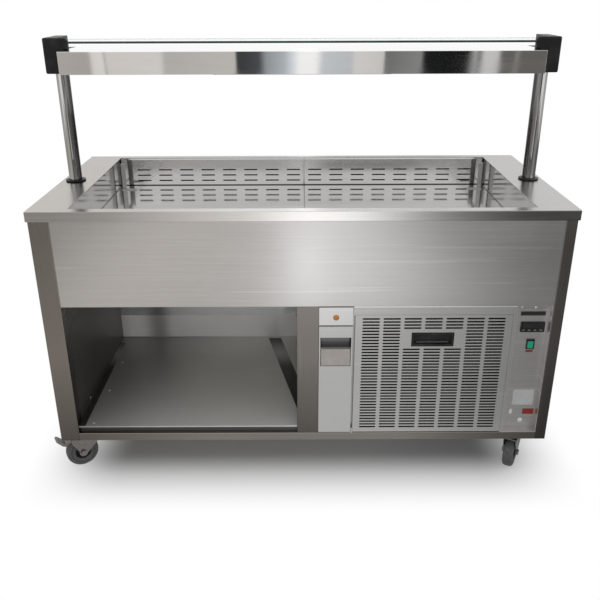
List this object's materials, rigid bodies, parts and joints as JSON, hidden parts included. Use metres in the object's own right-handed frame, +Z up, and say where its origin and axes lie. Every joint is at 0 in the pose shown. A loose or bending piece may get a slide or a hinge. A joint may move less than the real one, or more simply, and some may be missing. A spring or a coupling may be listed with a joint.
{
  "type": "mobile refrigerated servery counter",
  "caption": "Stainless refrigerated servery counter on braked castors, with a chilled well, a glass-topped lit gantry, open storage and a grilled machine bay.",
  "frame": {"origin": "on the floor under the middle of the counter", "axes": "+X to the operator's right along the counter, +Y away from the operator, +Z up"},
  "size_m": [1.569, 0.704, 1.283],
  "materials": {
    "brushed_steel": "satin brushed",
    "polished_steel": "mirror polished",
    "plain_steel": "plain mill",
    "foam": "rigid foam",
    "aluminium_fins": "thin fins",
    "black_plastic": "satin moulded",
    "white_plastic": "plain moulded",
    "shelf_glass": "clear toughened",
    "lamp_white": "white enamel",
    "lamp_tube_glass": "opal tube",
    "amber_plastic": "clear amber",
    "green_plastic": "clear green",
    "compressor_black": "black enamel",
    "copper": "drawn tube",
    "grey_tyre": "grey rubber"
  },
  "bodies": {
    "cabinet": {"frame_legs": "brushed_steel", "frame_rails": "brushed_steel", "front_panel": "brushed_steel", "rear_panel": "brushed_steel", "end_panels": "brushed_steel", "bay_side_liner": "brushed_steel", "partition_panel": "brushed_steel", "storage_back_panel": "brushed_steel", "base_shelf": "brushed_steel", "machine_base": "brushed_steel", "counter_top": "brushed_steel", "well_tank": "polished_steel", "well_insulation": "foam", "rear_air_panels": "polished_steel", "deck_bearers": "plain_steel", "evaporator_coil": "aluminium_fins", "evaporator_fan_frame": "plain_steel", "gantry_posts": "brushed_steel", "post_collars": "black_plastic", "gantry_end_caps": "black_plastic", "light_canopy": "polished_steel", "glass_shelf": "shelf_glass", "gantry_lamp": "lamp_white", "lamp_tube": "lamp_tube_glass", "grille_frame": "brushed_steel", "indicator_panel": "brushed_steel", "amber_lens": "amber_plastic", "drawer_runners": "plain_steel", "control_panel": "brushed_steel", "temperature_controller": "black_plastic", "switch_bezel": "black_plastic", "compressor": "compressor_black", "condenser_coil": "aluminium_fins", "condenser_shroud": "plain_steel", "refrigerant_pipes": "copper", "castor_plates": "brushed_steel"},
    "left_deck": {"deck_plate_left": "polished_steel"},
    "right_deck": {"deck_plate_right": "polished_steel"},
    "grille_leaf": {"grille_door": "brushed_steel", "door_handle_cup": "black_plastic"},
    "drawer": {"drawer_front": "brushed_steel", "drawer_container": "white_plastic"},
    "rocker": {"switch_rocker": "green_plastic"},
    "left_evaporator_fan": {"evaporator_fan_left": "black_plastic"},
    "right_evaporator_fan": {"evaporator_fan_right": "black_plastic"},
    "condenser_fan_wheel": {"condenser_fan": "black_plastic"},
    "button_1": {"controller_button_1": "black_plastic"},
    "button_2": {"controller_button_2": "black_plastic"},
    "button_3": {"controller_button_3": "black_plastic"},
    "button_4": {"controller_button_4": "black_plastic"},
    "front_left_castor": {"castor_fork_front_left": "plain_steel"},
    "front_left_wheel": {"castor_wheel_front_left": "grey_tyre"},
    "front_right_castor": {"castor_fork_front_right": "plain_steel"},
    "front_right_wheel": {"castor_wheel_front_right": "grey_tyre"},
    "rear_right_castor": {"castor_fork_rear_right": "plain_steel"},
    "rear_right_wheel": {"castor_wheel_rear_right": "grey_tyre"},
    "rear_left_castor": {"castor_fork_rear_left": "plain_steel"},
    "rear_left_wheel": {"castor_wheel_rear_left": "grey_tyre"},
    "front_left_pedal": {"brake_pedal_front_left": "plain_steel"},
    "rear_right_pedal": {"brake_pedal_rear_right": "plain_steel"}
  },
  "joints": [
    {"name": "grille_tilt", "type": "hinge", "parent": "cabinet", "child": "grille_leaf", "pos_m": [0.3755, -0.344, 0.166], "axis": [1, 0, 0], "range_deg": [0, 80]},
    {"name": "drawer_slide", "type": "slide", "parent": "cabinet", "child": "drawer", "axis": [0, -1, 0], "range_m": [0, 0.3]},
    {"name": "left_deck_lift", "type": "slide", "parent": "cabinet", "child": "left_deck", "axis": [0, 0, 1], "range_m": [0, 0.25]},
    {"name": "right_deck_lift", "type": "slide", "parent": "cabinet", "child": "right_deck", "axis": [0, 0, 1], "range_m": [0, 0.25]},
    {"name": "rocker_switch", "type": "hinge", "parent": "cabinet", "child": "rocker", "pos_m": [0.6695, -0.321, 0.445], "axis": [1, 0, 0], "range_deg": [-16, 0]},
    {"name": "left_evaporator_fan_spin", "type": "hinge", "parent": "cabinet", "child": "left_evaporator_fan", "pos_m": [-0.15, 0.14075, 0.69], "axis": [0, 1, 0], "continuous": true},
    {"name": "right_evaporator_fan_spin", "type": "hinge", "parent": "cabinet", "child": "right_evaporator_fan", "pos_m": [0.15, 0.14075, 0.69], "axis": [0, 1, 0], "continuous": true},
    {"name": "condenser_fan_spin", "type": "hinge", "parent": "cabinet", "child": "condenser_fan_wheel", "pos_m": [0.32, -0.23, 0.3245], "axis": [0, 1, 0], "continuous": true},
    {"name": "button_1_press", "type": "slide", "parent": "cabinet", "child": "button_1", "axis": [0, 1, 0], "range_m": [0, 0.001], "stiffness_N_per_m": 400},
    {"name": "button_2_press", "type": "slide", "parent": "cabinet", "child": "button_2", "axis": [0, 1, 0], "range_m": [0, 0.001], "stiffness_N_per_m": 400},
    {"name": "button_3_press", "type": "slide", "parent": "cabinet", "child": "button_3", "axis": [0, 1, 0], "range_m": [0, 0.001], "stiffness_N_per_m": 400},
    {"name": "button_4_press", "type": "slide", "parent": "cabinet", "child": "button_4", "axis": [0, 1, 0], "range_m": [0, 0.001], "stiffness_N_per_m": 400},
    {"name": "front_left_swivel", "type": "hinge", "parent": "cabinet", "child": "front_left_castor", "pos_m": [-0.68, -0.262, 0.11], "axis": [0, 0, 1], "continuous": true},
    {"name": "front_left_roll", "type": "hinge", "parent": "front_left_castor", "child": "front_left_wheel", "pos_m": [-0.71031, -0.2795, 0.05], "axis": [-0.5, 0.866, 0], "continuous": true},
    {"name": "front_right_swivel", "type": "hinge", "parent": "cabinet", "child": "front_right_castor", "pos_m": [0.68, -0.262, 0.11], "axis": [0, 0, 1], "continuous": true},
    {"name": "front_right_roll", "type": "hinge", "parent": "front_right_castor", "child": "front_right_wheel", "pos_m": [0.66357, -0.2929, 0.05], "axis": [-0.8829, 0.4695, 0], "continuous": true},
    {"name": "rear_right_swivel", "type": "hinge", "parent": "cabinet", "child": "rear_right_castor", "pos_m": [0.68, 0.262, 0.11], "axis": [0, 0, 1], "continuous": true},
    {"name": "rear_right_roll", "type": "hinge", "parent": "rear_right_castor", "child": "rear_right_wheel", "pos_m": [0.71031, 0.2795, 0.05], "axis": [0.5, -0.866, 0], "continuous": true},
    {"name": "rear_left_swivel", "type": "hinge", "parent": "cabinet", "child": "rear_left_castor", "pos_m": [-0.68, 0.262, 0.11], "axis": [0, 0, 1], "continuous": true},
    {"name": "rear_left_roll", "type": "hinge", "parent": "rear_left_castor", "child": "rear_left_wheel", "pos_m": [-0.66357, 0.2929, 0.05], "axis": [0.8829, -0.4695, 0], "continuous": true},
    {"name": "front_left_brake", "type": "hinge", "parent": "front_left_castor", "child": "front_left_pedal", "pos_m": [-0.73196, -0.292, 0.1015], "axis": [0.5, -0.866, 0], "range_deg": [0, 18]},
    {"name": "rear_right_brake", "type": "hinge", "parent": "rear_right_castor", "child": "rear_right_pedal", "pos_m": [0.73196, 0.292, 0.1015], "axis": [-0.5, 0.866, 0], "range_deg": [0, 18]}
  ]
}
